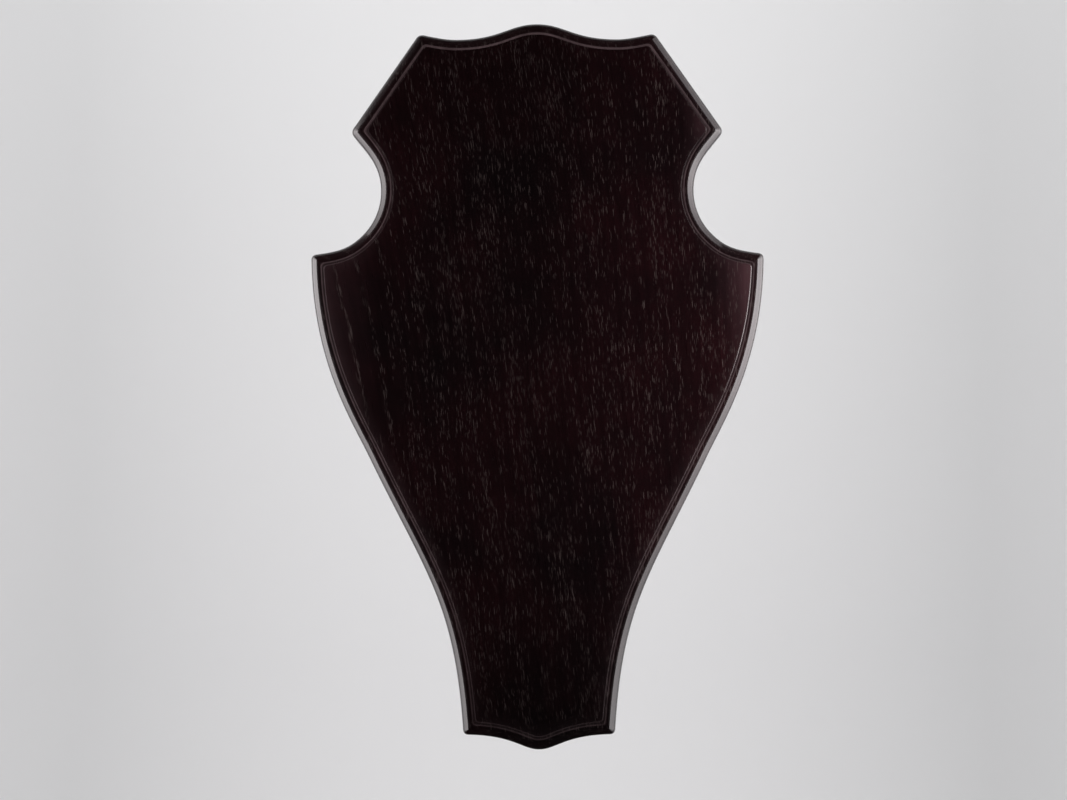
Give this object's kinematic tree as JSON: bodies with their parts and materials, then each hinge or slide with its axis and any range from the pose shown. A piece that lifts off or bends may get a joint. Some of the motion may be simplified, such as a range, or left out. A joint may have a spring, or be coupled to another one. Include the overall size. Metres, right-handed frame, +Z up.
{
  "type": "trophy mounting plaque",
  "caption": "Dark stained oak wall shield with a moulded edge, side notches and a narrow foot, for mounting a small antler or horn trophy.",
  "frame": {"origin": "on the flat back face, on the centre line at half height, where the board meets the wall", "axes": "+Z up as it hangs, +X to the right as the front is seen, +Y out of the back face into the wall; the front faces -Y"},
  "size_m": [0.2808, 0.02, 0.45],
  "materials": {
    "stained_oak": "dark mahogany stain with open pores under satin varnish"
  },
  "bodies": {
    "root": {"board": "stained_oak"}
  },
  "joints": []
}
